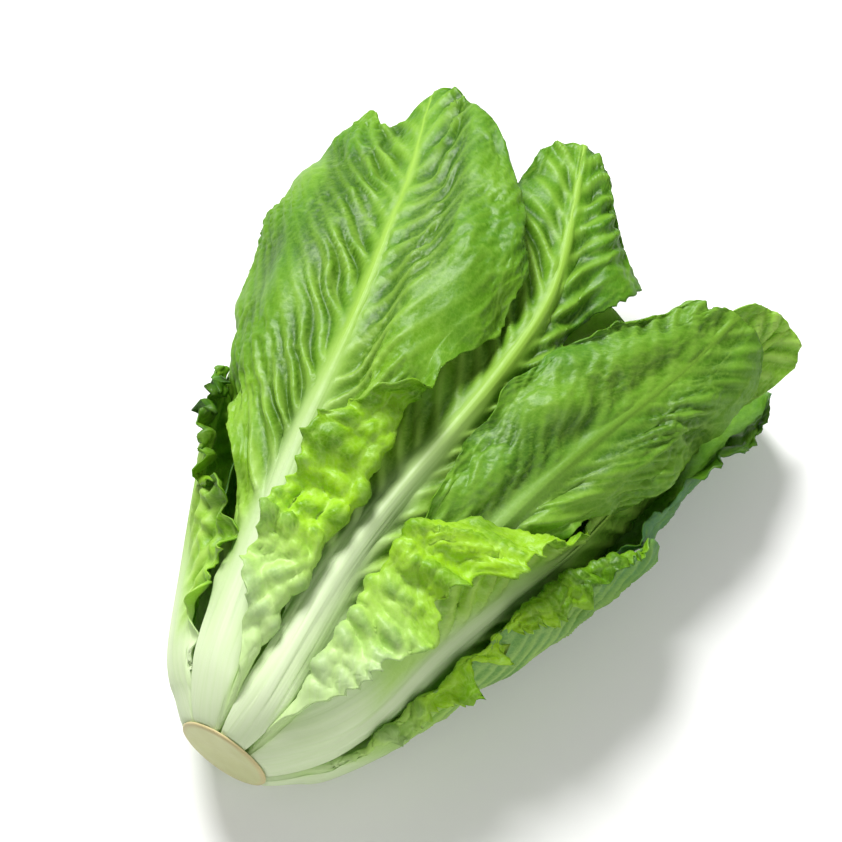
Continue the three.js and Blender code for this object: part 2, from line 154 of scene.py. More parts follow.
def blade_middle(leaf, s, v):
    """Midsurface of a leaf in millimetres, from stalk (s 0) to tip (1) and margin to margin (v -1 to 1)."""
    reach = np.abs(v)
    flat = np.minimum(reach / FOLD_AT, 1)
    past = np.maximum(reach - FOLD_AT, 0) / (1 - FOLD_AT)
    left = v < 0

    def side(name):
        return np.where(left, along(leaf["left"][name], s), along(leaf["right"][name], s))

    def constant(name):
        return np.where(left, leaf["left"][name], leaf["right"][name])

    turn_way = np.where(left, 1.0, -1.0)
    rib_angle = along(leaf["rib"], s)
    angle = (rib_angle + (side("fold") - rib_angle) * flat) * DEGREE
    rib_size = along(leaf["size"], s)
    k = rib_size + (side("size") - rib_size) * flat**1.4
    y = leaf["from"] + (leaf["to"] - leaf["from"]) * s - constant("shoulder") * reach**2.2 * s**1.6
    for at, height, width in leaf["lobes"]:
        y = y + height * np.exp(-(((v - at) / width) ** 2)) * s**5
    for at, depth, width in leaf["nicks"]:
        y = y - depth * np.exp(-(((v - at) / width) ** 2)) * s**9
    k = k * (1 - leaf["neck"] * np.exp(-(y - leaf["from"]) / NECK_LENGTH))

    c, n = np.cos(angle), np.sin(angle)
    a = k * half_width(y)
    b = k * np.where(n > 0, rise(y), sink(y))
    zero = np.zeros_like(y)
    point = np.stack([a * c, y, b * n], axis=-1)
    tangent = np.stack([-a * n, zero, b * c], axis=-1) / np.hypot(a * n, b * c)[..., None]
    normal = np.stack([c / a, zero, n / b], axis=-1) / np.hypot(c / a, n / b)[..., None]

    flap = side("flap") * past * (1 + leaf["jag"](s, v) * past)
    for side_way, at, share, width in leaf["bays"]:
        here = np.where(v * side_way > 0, 1.0, 0.0)
        flap = flap * (1 + here * share * past * np.exp(-(((s - at) / width) ** 2)))
    full_turn = side("turn") * DEGREE
    bend = constant("bend")
    turned = np.minimum(flap / bend, np.abs(full_turn))
    straight = flap - turned * bend
    way = np.where(full_turn < 0, -1.0, 1.0)
    across = bend * np.sin(turned) + straight * np.cos(turned)
    out = way * (bend * (1 - np.cos(turned)) + straight * np.sin(turned))
    out = out + side("bulge") * np.sin(math.pi * flat) * smooth_step(0, 0.35, flat)

    wave = leaf["wave"]
    phase = 2 * math.pi * (y - leaf["from"]) / wave["length"] + wave["start"] + np.where(left, 2.1, 0)
    swing = np.sin(phase) + 0.45 * np.sin(2.3 * phase + 1.3 + turn_way)
    fade = smooth_step(0.06, 0.3, s) * smooth_step(0.25, 1, reach)
    out = out + wave["height"] * constant("waves") * swing * fade
    across = across + 0.6 * wave["height"] * constant("waves") * np.sin(1.7 * phase + 0.6) * fade
    return point + tangent * (turn_way * across)[..., None] + normal * out[..., None]


def normals_of(p):
    """Unit normals of a grid of points, away from the head's axis where the blade lies on its shell."""
    along_rib = np.gradient(p, axis=0)
    across = np.gradient(p, axis=1)
    n = np.cross(across, along_rib)
    return n / np.maximum(np.linalg.norm(n, axis=-1, keepdims=True), 1e-9)


# The tables of the solids: values at even stations from stalk to tip, in degrees and millimetres.
STRAIGHT_SIDE = {"bulge": [0, 1, 2, 2, 1], "bend": 6, "waves": 1, "shoulder": 45}
LEAVES = [
    {
        "name": "leaf_top_left",
        "from": FIRST_RING_START,
        "to": 275.5,
        "rib": [113, 117, 120, 122, 123, 125, 130, 138, 152],
        "size": [0.89, 0.89, 0.89, 0.9, 0.9, 0.91, 0.92, 0.92, 0.93],
        "left": {
            **STRAIGHT_SIDE,
            "fold": [134, 134, 133, 141, 158, 168, 171, 172, 170],
            "size": [0.89, 0.9, 0.92, 0.95, 1.03, 1.1, 1.15, 1.12, 1.05],
            "flap": [0.5, 2, 3, 7, 17, 22, 22, 20, 12],
            "turn": [0, 0, 10, 20, -20, -45, -50, -40, -10],
            "bulge": [0, 0, 1, 2, 4, 6, 7, 5, 2],
            "bend": 13,
            "shoulder": 26,
        },
        "right": {
            **STRAIGHT_SIDE,
            "fold": [100, 99, 96, 95, 96, 97, 95, 99, 114],
            "size": [0.89, 0.88, 0.89, 0.9, 0.92, 0.95, 0.97, 0.97, 0.96],
            "flap": [0.5, 18, 34, 36, 28, 10, 13, 13, 8],
            "turn": [160, 160, 170, 168, 150, -10, -35, -30, 0],
            "bulge": [0, 0, 0.5, 1, 3, 7, 8, 6, 3],
            "bend": 3.5,
            "shoulder": 16,
        },
        "lobes": [[0.1, 20, 0.24], [-0.6, 7, 0.16], [0.5, 10, 0.22]],
        "wave": {"height": 2.2, "length": 52, "start": 0.4},
        "stalk": 6,
    },
    {
        "name": "leaf_top_centre",
        "from": FIRST_RING_START,
        "to": 295.5,
        "rib": [76, 81, 85, 84, 82, 81, 83, 92, 103],
        "size": [0.88, 0.8, 0.78, 0.77, 0.76, 0.75, 0.74, 0.74, 0.75],
        "left": {
            **STRAIGHT_SIDE,
            "fold": [92, 93, 99, 104, 108, 108, 106, 106, 110],
            "size": [0.87, 0.79, 0.77, 0.75, 0.75, 0.74, 0.74, 0.74, 0.75],
            "flap": [0.5, 1, 4, 8, 10, 10, 9, 8, 4],
            "turn": [0, 0, 0, 0, 0, 0, 0, 10, 25],
            "waves": 0.5,
            "bulge": [0, 0, 0, 1, 1, 1, 1, 1, 0],
            "shoulder": 12,
        },
        "right": {
            **STRAIGHT_SIDE,
            "fold": [58, 65, 68, 64, 61, 63, 74, 76, 93],
            "size": [0.87, 0.78, 0.72, 0.7, 0.7, 0.69, 0.68, 0.7, 0.73],
            "flap": [0.5, 1, 3, 6, 8, 7, 5, 17, 9],
            "turn": [0, 0, 0, 0, 0, 0, -10, -20, -40],
            "waves": 0.5,
            "bulge": [0, 0, 0, 1, 1, 1, 1, 2, 1],
            "shoulder": 14,
        },
        "lobes": [],
        "wave": {"height": 1.8, "length": 47, "start": 1.4},
        "stalk": 6.5,
    },
    {
        "name": "leaf_top_right",
        "from": 22.5,
        "to": 261.5,
        "rib": [46, 49, 50, 50, 50, 48, 44, 40, 38],
        "size": [0.33, 0.62, 0.77, 0.83, 0.85, 0.86, 0.87, 0.88, 0.89],
        "left": {
            **STRAIGHT_SIDE,
            "fold": [66, 58, 60, 69, 72, 73, 70, 60, 48],
            "size": [0.33, 0.62, 0.78, 0.83, 0.84, 0.84, 0.83, 0.84, 0.87],
            "flap": [0.5, 1, 2, 4, 5, 5, 5, 5, 5],
            "turn": [0, 0, 0, 20, 30, 20, 0, 0, 0],
            "waves": 0.8,
            "bulge": [0, 0, 0, 1, 3, 4, 4, 3, 1],
            "shoulder": 10,
        },
        "right": {
            **STRAIGHT_SIDE,
            "fold": [26, 38, 41, 42, 36, 28, 25, 22, 26],
            "size": [0.33, 0.62, 0.77, 0.82, 0.86, 0.91, 0.92, 0.93, 0.92],
            "flap": [0.5, 1, 2, 4, 5, 7, 8, 9, 7],
            "turn": [0, 0, 0, 0, 0, -10, -20, -20, -10],
            "bulge": [0, 0, 0, 1, 3, 5, 6, 4, 1],
            "waves": 0.8,
            "shoulder": 8,
        },
        "lobes": [],
        "wave": {"height": 2, "length": 44, "start": 2.6},
        "stalk": 4.4,
        "neck": 0,
    },
    {
        "name": "leaf_right",
        "from": FIRST_RING_START,
        "to": 275.5,
        "rib": [20, 19, 27, 27, 21, 17, 17, 17, 18],
        "size": [0.88, 0.88, 0.88, 0.87, 0.83, 0.79, 0.79, 0.81, 0.9],
        "left": {
            **STRAIGHT_SIDE,
            "fold": [49, 61, 69, 68, 28, 22, 28, 34, 32],
            "size": [0.87, 0.92, 0.95, 0.97, 0.9, 0.78, 0.78, 0.8, 0.9],
            "flap": [0.5, 22, 38, 42, 7, 3, 6, 8, 6],
            "turn": [120, 155, 170, 170, 80, 0, 0, 0, 0],
            "waves": 1,
            "bulge": [0, 3, 5, 5, 1, 0, 0, 2, 2],
            "bend": 3.5,
            "shoulder": 6,
        },
        "right": {
            **STRAIGHT_SIDE,
            "fold": [2, 4, 5, 4, 0, -3, 2, 8, 8],
            "size": [0.87, 0.87, 0.88, 0.87, 0.84, 0.82, 0.82, 0.85, 0.94],
            "flap": [0.5, 2, 4, 5, 6, 6, 6, 6, 4],
            "turn": [0, 0, 0, 0, 0, 0, 0, 10, 20],
            "bulge": [0, 0, 0, 0, 0, 0, 0, 1, 1],
            "waves": 0.3,
            "shoulder": 10,
        },
        "lobes": [],
        "wave": {"height": 2, "length": 46, "start": 0.2},
        "stalk": 6,
    },
    {
        "name": "leaf_lower_right",
        "from": FIRST_RING_START,
        "to": 167,
        "rib": [-30, -30, -28, -24, -18],
        "size": [0.9, 1, 1, 1, 1],
        "left": {
            **STRAIGHT_SIDE,
            "fold": [-14, 12, 24, 25, 12],
            "size": [0.89, 0.99, 1.0, 1.01, 1.01],
            "flap": [0.5, 11, 17, 17, 8],
            "turn": [90, 140, 150, 150, 60],
            "bulge": [0, 1, 1, 1, 1],
            "bend": 3,
            "shoulder": 10,
        },
        "right": {
            **STRAIGHT_SIDE,
            "fold": [-50, -56, -58, -56, -50],
            "size": [0.89, 0.99, 0.99, 0.99, 0.99],
            "flap": [0.5, 4, 6, 7, 6],
            "turn": [0, 0, 0, 0, 0],
            "bulge": [0, 0, 0, 0, 0],
            "waves": 0.2,
            "shoulder": 26,
        },
        "lobes": [],
        "wave": {"height": 2, "length": 38, "start": 1.1},
        "ragged": 0.4,
        "stalk": 6.5,
    },
    {
        "name": "leaf_under_right",
        "from": FIRST_RING_START,
        "to": 265.5,
        "rib": [-84, -86, -86, -84, -78],
        "size": [0.88, 0.9, 0.94, 0.95, 0.95],
        "left": {
            **STRAIGHT_SIDE,
            "fold": [-63, -44, -14, -4, -14],
            "size": [0.88, 0.88, 0.91, 0.93, 0.94],
            "flap": [0.5, 5, 12, 14, 9],
            "turn": [0, 0, -10, -10, 30],
            "bulge": [0, 0, 0, 0, 0],
            "waves": 0.4,
            "shoulder": 26,
        },
        "right": {
            **STRAIGHT_SIDE,
            "fold": [-108, -108, -111, -112, -104],
            "size": [0.87, 0.91, 0.97, 0.98, 0.97],
            "flap": [0.5, 4, 9, 10, 7],
            "turn": [0, 0, 0, 0, 0],
            "bulge": [0, 0, 0, 0, 0],
            "waves": 0.2,
        },
        "lobes": [],
        "wave": {"height": 1.6, "length": 50, "start": 3},
        "stalk": 6,
    },
    {
        "name": "leaf_under_left",
        "from": FIRST_RING_START,
        "to": 253.5,
        "rib": [222, 224, 224, 222, 218],
        "size": [0.88, 0.84, 0.84, 0.84, 0.85],
        "left": {
            **STRAIGHT_SIDE,
            "fold": [244, 247, 254, 253, 240],
            "size": [0.87, 0.82, 0.82, 0.82, 0.83],
            "flap": [0.5, 4, 9, 10, 7],
            "turn": [0, 0, 0, 0, 0],
            "bulge": [0, 0, 0, 0, 0],
            "waves": 0.2,
        },
        "right": {
            **STRAIGHT_SIDE,
            "fold": [201, 192, 184, 180, 186],
            "size": [0.87, 0.83, 0.84, 0.85, 0.86],
            "flap": [0.5, 4, 8, 10, 8],
            "turn": [0, 0, 0, 0, 0],
            "bulge": [0, 0, 0, 0, 0],
            "waves": 0.3,
        },
        "lobes": [],
        "wave": {"height": 1.5, "length": 48, "start": 2},
        "stalk": 6,
    },
    {
        "name": "leaf_lower_left",
        "from": FIRST_RING_START,
        "to": 145,
        "rib": [167, 172, 178, 184, 188],
        "size": [0.9, 0.95, 1, 1.04, 1.05],
        "left": {
            **STRAIGHT_SIDE,
            "fold": [188, 198, 206, 208, 204],
            "size": [0.89, 0.94, 0.97, 0.99, 0.99],
            "flap": [0.5, 4, 8, 8, 6],
            "turn": [0, 0, 0, 0, 0],
            "bulge": [0, 0, 0, 0, 0],
            "waves": 0.4,
            "shoulder": 24,
        },
        "right": {
            **STRAIGHT_SIDE,
            "fold": [140, 145, 149, 167, 178],
            "size": [0.89, 0.94, 0.99, 1.06, 1.06],
            "flap": [0.4, 5, 14, 9, 5],
            "turn": [0, 10, 15, 30, 20],
            "bulge": [0, 0, 0, 0, 0],
            "shoulder": 12,
        },
        "lobes": [],
        "wave": {"height": 2, "length": 34, "start": 0.9},
        "ragged": 0.4,
        "stalk": 5,
    },
]


def toothed(depth, seed):
    """A margin cut into teeth and scallops, as a share of the flap's width."""

    def cut(s, v):
        side = np.where(v < 0, 1.0, 2.0)
        fine = 1 - 2 * np.abs(np.sin(ripple(s * 260 + side * 37, side * 11, 9, seed) * 2.2))
        coarse = np.clip(ripple(s * 260 + side * 53, side * 19, 17, seed + 1), -1, 1)
        return depth * (0.5 * fine + 0.8 * coarse)

    return cut


def inner_leaf(name, angle, spread, size, to, start, ring):
    """A leaf of the closed inner rings, spread evenly to both sides of its midrib."""

    def side(turn):
        return {
            **STRAIGHT_SIDE,
            "fold": [angle + turn * share * spread for share in (0.5, 0.75, 1, 1, 0.7)],
            "size": [ring["base_size"], size - 0.02, size, size, size],
            "flap": [0.5, 3, 7, 8, 5],
            "turn": [0, 0, 0, 0, 8],
            "bulge": [0, 0, 0.5, 0.5, 0],
            "waves": 0.5,
            "shoulder": 34,
        }

    return {
        "name": name,
        "from": ring["from"],
        "to": to,
        "rib": [angle] * 5,
        "size": [ring["base_size"], size - 0.03, size, size, size],
        "left": side(1),
        "right": side(-1),
        "lobes": [],
        "wave": {"height": 1.1, "length": 45, "start": start},
        "stalk": ring["stalk"],
        "neck": 0,
    }


SECOND_RING = {"from": 22.5, "base_size": 0.31, "stalk": 4.2}
THIRD_RING = {"from": 36, "base_size": 0.13, "stalk": 3}
HEART = {"from": 48, "base_size": 0.06, "stalk": 2}
INNER_LEAVES = [
    inner_leaf("inner_leaf_1", 138, 48, 0.65, 262, 0.3, SECOND_RING),
    inner_leaf("inner_leaf_2", -44, 50, 0.66, 252, 3.1, SECOND_RING),
    inner_leaf("inner_leaf_3", 228, 48, 0.57, 240, 4.4, SECOND_RING),
    inner_leaf("inner_leaf_4", 62, 56, 0.5, 240, 2.5, THIRD_RING),
    inner_leaf("inner_leaf_5", 182, 56, 0.445, 230, 0.8, THIRD_RING),
    inner_leaf("inner_leaf_6", -58, 58, 0.37, 222, 5.2, THIRD_RING),
    inner_leaf("heart_leaf_1", 75, 66, 0.25, 212, 1.2, HEART),
    inner_leaf("heart_leaf_2", 255, 66, 0.15, 200, 3.9, HEART),
]

# Surface detail of each outer leaf. Young, ruffles and valley hold values at even stations from stalk to tip,
# for the left and the right side.
# grid: rows and columns of its surface. spacing: between side veins, in millimetres.
# pleats, blisters, ruffles, valley: how high each kind of relief stands, the last beside the midrib.
# crumple: how crumpled its margins are, beside the flaps that are turned over.
# young: how yellow the blade is, set lower in places as painted shade and higher as painted light (see
# leaf_top_centre and leaf_lower_right). bloom: how bluish its back is. veins, rib: how strongly they show.
# bays: places where a margin steps in or out, as side (-1 left), station, share of the flap and width.
# nicks: cuts into the tip, as place across, depth and width.
NO_VALLEY = ((0, 0), (0, 0))
DETAIL = {
    "leaf_top_left": dict(
        grid=(230, 151), seed=11, teeth=0.1, spacing=14, pleats=2.2, blisters=1.0, bloom=0.05,
        young=((0.9, 0.8, 0.5, 0.2, 0.1, 0.1, 0.1), (1, 1, 1, 0.45, 0.15, 0.1, 0.05)),
        ruffles=((0.2, 0.8, 1.2, 1.4, 1.4, 1.2, 1), (0.5, 1.5, 1.7, 1.5, 1.1, 1.2, 1.2)),
        bays=((1, 0.6, -0.6, 0.03), (-1, 0.5, 0.2, 0.04), (-1, 0.44, -0.4, 0.03)),
        nicks=((-0.13, 9, 0.11), (-0.3, 6, 0.12), (0.62, 5, 0.1)),
        valley=((0, 0, 1, 2, 2.5, 2, 1), (0, 0, 2, 4, 4, 4, 2)),
    ),
    "leaf_top_centre": dict(
        grid=(230, 131), seed=23, teeth=0.12, spacing=13, pleats=2.0, blisters=0.8, bloom=0.05,
        # Painted shade: the left side is set less yellow from the middle up, where it lies in the shade of
        # leaf_top_left.
        young=((1, 1, 0.5, 0.2, 0.1, 0.05, 0), (1, 1, 0.7, 0.3, 0.1, 0.05, 0)),
        ruffles=((0, 0.5, 0.8, 1, 1, 1, 1), (0, 0.5, 0.8, 1, 1, 1.6, 1.2)),
        bays=((1, 0.965, -0.6, 0.02), (1, 0.9, 0.3, 0.03)),
        nicks=(),
        valley=((0, 0, 1, 2, 2, 1.5, 1), (0, 0, 1, 2, 2.5, 2, 1)),
    ),
    "leaf_top_right": dict(
        rib=0.35, veins=0.45,
        grid=(220, 141), seed=37, teeth=0.15, spacing=13, pleats=0.7, blisters=1.3, bloom=0.15,
        young=((1, 0.7, 0.35, 0.2, 0.15, 0.2, 0.2), (1, 0.7, 0.4, 0.25, 0.2, 0.2, 0.2)),
        ruffles=((0, 0.6, 1, 1.3, 1.4, 1.4, 1.2), (0, 0.8, 1.5, 1.6, 1.2, 1, 0.8)),
        bays=((1, 0.44, 0.9, 0.04), (1, 0.55, -0.4, 0.05)),
        nicks=((-0.5, 5, 0.12),),
        valley=((0, 0, 1, 2, 2, 2, 1), (0, 0, 1, 2.5, 3, 2, 1)),
    ),
    "leaf_right": dict(
        grid=(230, 151), seed=41, teeth=0.16, spacing=12, pleats=1.2, blisters=1.0, bloom=0.25,
        young=((1, 1, 1, 0.7, 0.2, 0.4, 0.7), (1, 0.9, 0.6, 0.3, 0.2, 0.4, 0.7)),
        ruffles=((0.4, 1.3, 1.6, 1.6, 1.2, 1, 1), (0, 0.5, 0.8, 1, 1, 1, 1)),
        bays=(),
        nicks=(),
        valley=NO_VALLEY,
    ),
    "leaf_lower_right": dict(
        crumple=0.8,
        grid=(170, 141), seed=53, teeth=0.3, spacing=11, pleats=1.0, blisters=1.1, bloom=0.9,
        # Painted light: the left flap stays yellow far up, to brighten a flap that lies in shade.
        young=((1, 1, 1, 1, 0.7, 0.3, 0.1), (1, 0.8, 0.5, 0.25, 0.05, 0, 0)),
        ruffles=((0.6, 2, 2.6, 2.6, 2.4, 2, 1.4), (0.2, 1, 1.6, 2, 2, 2, 1.6)),
        bays=((-1, 0.45, -0.35, 0.03), (-1, 0.62, -0.3, 0.03), (1, 0.75, 0.5, 0.03)),
        nicks=((-0.3, 6, 0.15), (0.3, 4, 0.1)),
        valley=NO_VALLEY,
    ),
    "leaf_under_right": dict(
        crumple=0.6,
        grid=(150, 91), seed=61, teeth=0.25, spacing=13, pleats=0.8, blisters=1.0, bloom=1.0,
        young=((1, 0.6, 0.2, 0, 0, 0, 0), (1, 0.6, 0.2, 0, 0, 0, 0)),
        ruffles=((0, 0.8, 1.4, 2, 2, 2, 1.6), (0, 0.3, 0.5, 0.6, 0.6, 0.6, 0.6)),
        bays=(),
        nicks=(),
        valley=NO_VALLEY,
    ),
    "leaf_under_left": dict(
        grid=(140, 81), seed=71, teeth=0.2, spacing=13, pleats=0.8, blisters=0.7, bloom=0.9,
        young=((1, 0.6, 0.2, 0, 0, 0, 0), (1, 0.6, 0.2, 0, 0, 0, 0)),
        ruffles=((0, 0.4, 0.6, 0.8, 0.8, 0.8, 0.8), (0, 0.5, 0.8, 1, 1, 1, 1)),
        bays=(),
        nicks=(),
        valley=NO_VALLEY,
    ),
    "leaf_lower_left": dict(
        crumple=1.3,
        grid=(150, 111), seed=83, teeth=0.5, spacing=10, pleats=0.8, blisters=1.1, bloom=0.3,
        young=((1, 1, 0.8, 0.5, 0.1, 0, 0), (1, 1, 1, 0.9, 0.4, 0.1, 0)),
        ruffles=((0.3, 1.2, 2, 2.2, 2.2, 2.2, 2), (0.5, 2, 3, 3.2, 3, 2.4, 2)),
        bays=(),
        nicks=((0.2, 6, 0.15),),
        valley=NO_VALLEY,
    ),
}
INNER_DETAIL = dict(
    valley=NO_VALLEY,
    grid=(80, 51), teeth=0.15, spacing=12, pleats=0.8, blisters=0.7, bloom=0.1, bays=(), nicks=(),
    young=((1, 1, 1, 0.9, 0.8, 0.7, 0.6),) * 2,
    ruffles=((0, 0.5, 1, 1, 1, 1, 1),) * 2,
)


def measure(middle):
    """Millimetres across from the midrib, and along it, at each point of a blade."""
    rows, columns = middle.shape[:2]
    steps = np.linalg.norm(np.diff(middle, axis=1), axis=-1)
    half = columns // 2
    across = np.zeros((rows, columns))
    across[:, half + 1 :] = np.cumsum(steps[:, half:], axis=1)
    across[:, :half] = -np.cumsum(steps[:, :half][:, ::-1], axis=1)[:, ::-1]
    steps = np.linalg.norm(np.diff(middle[:, half], axis=0), axis=-1)
    length = np.concatenate([[0], np.cumsum(steps)])[:, None] * np.ones((1, columns))
    return across, length


def outward(middle, s):
    """Unit normals, kept square to the head's axis at the cut end of the stalk."""
    normal = normals_of(middle)
    normal[..., 1] *= smooth_step(0, 0.1, s)
    return normal / np.linalg.norm(normal, axis=-1, keepdims=True)


def side_turn(leaf, s, v):
    """How far the flap of each side is turned over, in degrees."""
    return np.where(v < 0, along(leaf["left"]["turn"], s), along(leaf["right"]["turn"], s))


def shape_leaf(leaf, detail):
    """Grids of a leaf's outer and inner skin in millimetres, and of what its finish follows."""
    rows, columns = detail["grid"]
    s = np.linspace(0, 1, rows)[:, None] * np.ones((1, columns))
    v = np.ones((rows, 1)) * np.linspace(-1, 1, columns)[None, :]
    seed = detail["seed"]
    extra = {"bays": detail["bays"], "nicks": detail["nicks"], "jag": toothed(detail["teeth"], seed)}
    leaf = {"neck": NECK, **extra, **leaf}
    middle = blade_middle(leaf, s, v)
    if leaf["from"] == FIRST_RING_START:
        lower = (FIRST_RING_START - STALKS_START) * (1 - smooth_step(0, 0.05, s))
        middle[..., 1] -= lower
        middle[..., ::2] *= (1 - 0.016 * lower)[..., None]
    across, length = measure(middle)
    off_rib = np.abs(across)
    reach = np.abs(v)
    left = v < 0

    def sided(name):
        return np.where(left, along(detail[name][0], s), along(detail[name][1], s))

    # Side veins leave the midrib at about 35 degrees, not quite evenly.
    climb = length - VEIN_SLANT * off_rib - 0.004 * off_rib**2 + 3 * ripple(length, across, 34, seed + 2)
    count = climb / detail["spacing"] + np.where(left, 0.0, 0.47)
    from_vein = np.abs(count - np.round(count)) * detail["spacing"] / ACROSS_VEINS
    rib_edge = np.maximum(along(RIB_EDGES, s), 0.8)
    folded = smooth_step(45, 100, np.abs(side_turn(leaf, s, v))) * smooth_step(0.5, 0.7, reach)
    grown = smooth_step(0.14, 0.34, s)
    grown = np.maximum(grown, folded * smooth_step(0.05, 0.14, s))
    in_blade = smooth_step(0.5, 1.2, off_rib / rib_edge) * grown
    vein_width = 1.6 - 0.3 * np.clip(off_rib / 45, 0, 1)
    vein = np.exp(-((from_vein / vein_width) ** 2)) * in_blade * detail.get("veins", 1)
    vein = vein * (1 - smooth_step(0.55, 0.9, reach)) * (1 - 0.6 * smooth_step(12, 45, off_rib))

    # The blade sinks between the side veins, most of all close to the midrib.
    fold = 1 - 2 * np.abs(np.sin(math.pi * count + 0.8 * ripple(length, across, 17, seed + 3))) ** 0.8
    fold = fold * np.clip(0.6 + 0.6 * ripple(length, across, 28, seed + 13), 0.1, 1.2)
    near_rib = smooth_step(2, 9, off_rib) * (1 - smooth_step(10, 34, off_rib)) * (1 - 0.9 * folded)
    outwards = detail["pleats"] * fold * near_rib * in_blade

    # Farther out it swells broadly, and a net of small veins divides it into patches of blisters.
    bent = across + 2.5 * ripple(length, across, 12, seed + 4)
    nearest, following = cells(bent, climb, BLISTER, seed + 5)
    blister = smooth_step(0.0, 0.5, following - nearest)
    fine_nearest, fine_following = cells(across, length, FINE_BLISTER, seed + 6)
    fine = smooth_step(0.0, 0.6, fine_following - fine_nearest)
    patch = np.clip(0.45 + 0.7 * ripple(length, across, 36, seed + 14), 0.1, 1.2)
    far_out = (0.2 + 0.8 * smooth_step(6, 22, off_rib)) * patch
    lumps = 1.2 * far_out * (blister - 0.5) + (0.6 * patch + 0.5 * folded) * (fine - 0.5)
    outwards = outwards - detail["blisters"] * in_blade * lumps
    swells = 1.3 * ripple(length, across, 30, seed + 15) * smooth_step(8, 26, off_rib)
    swells = swells + 0.9 * ripple(length, across, 15, seed + 7)
    # Turned over flaps and the margins of short leaves are crumpled, with sharp crests.
    at_margin = smooth_step(0.3, 0.7, reach) * smooth_step(0.1, 0.25, s)
    crumpled = np.maximum(folded, detail.get("crumple", 0) * at_margin)
    crests = 1 - 2.6 * np.abs(ripple(length, across, 9, seed + 16))
    crests = crests + 0.5 * ripple(length, across, 5, seed + 17)
    outwards = outwards + (swells * (1 - 0.4 * folded) + 0.9 * crumpled * crests) * in_blade
    outwards = outwards + 0.6 * vein * (1 - folded)
    beside_rib = np.exp(-(((reach - 0.2) / 0.12) ** 2)) * smooth_step(0, 0.14, reach)
    outwards = outwards - sided("valley") * beside_rib
    strings = 0.12 * ripple(across, length * 0.03, 2.4, seed + 8) * smooth_step(0.01, 0.06, s)
    outwards = outwards + strings * (1 - in_blade)

    to_margin = smooth_step(0.45, 1, reach) * smooth_step(0.03, 0.12, s)
    ruffle = (0.45 + 0.95 * crumpled) * ripple(length, across * 0.25, 8, seed + 9)
    ruffle = ruffle + 0.8 * ripple(length, across * 0.3, 18, seed + 10)
    outwards = outwards + sided("ruffles") * ruffle * to_margin
    middle = middle + outward(middle, s) * outwards[..., None]
    normal = outward(middle, s)

    # The midrib is fattest at the stalk, with a low keel down the middle of its back.
    stalk = 1 - smooth_step(0, 0.42, s)
    rib_height = leaf["stalk"] * (0.16 + 0.84 * (1 - s) ** 1.7)
    rib_spread = 0.07 + 0.05 * (1 - s) + 0.75 * stalk
    rib = np.exp(-((reach / rib_spread) ** 2.4)) * np.maximum(detail.get("rib", 1), stalk)
    keel = KEEL * np.exp(-((off_rib / KEEL_WIDTH) ** 2))
    keel = keel * smooth_step(0.0, 0.1, s) * (1 - smooth_step(0.6, 1.0, s))
    half = BLADE_HALF - (BLADE_HALF - MARGIN_HALF) * smooth_step(0.5, 1, reach)
    outer = middle + normal * (half + OUTER_SHARE * rib_height * rib + keel)[..., None]
    inner = middle - normal * (half + (1 - OUTER_SHARE) * rib_height * rib)[..., None]
    lift = np.maximum(-TABLE - np.minimum(outer[..., 2], inner[..., 2]), 0)
    outer[..., 2] += lift
    inner[..., 2] += lift

    flesh = np.exp(-((off_rib / (0.9 * rib_edge)) ** 2.4)) * np.maximum(detail.get("rib", 1), stalk)
    blanched = 1 - smooth_step(0.03, 0.34, s + 0.03 * ripple(length, across, 18, seed + 11))
    blanched = blanched * (1 - 0.35 * folded)
    net = (1 - smooth_step(0.0, 0.13, following - nearest)) * in_blade
    fine_net = (1 - smooth_step(0.0, 0.22, fine_following - fine_nearest)) * in_blade
    marks = {
        "flesh": np.maximum(flesh, blanched),
        "greened": smooth_step(0.16, 0.62, s),
        "vein": np.clip(0.55 * np.maximum(vein, 0.5 * net + 0.2 * fine_net), 0, 1),
        "young": np.clip(sided("young") + 0.1 * ripple(length, across, 26, seed + 12), 0, 1),
        # hollow: painted shade, a share that darkens the colour where the surface sinks, between the pleats,
        # in the blisters and beside the midrib.
        "hollow": 0.75 * smooth_step(0.2, 1.9, -outwards),
        "bloom": 0.8 * detail["bloom"] * smooth_step(0.05, 0.5, s),
    }
    return outer, inner, across, length, marks


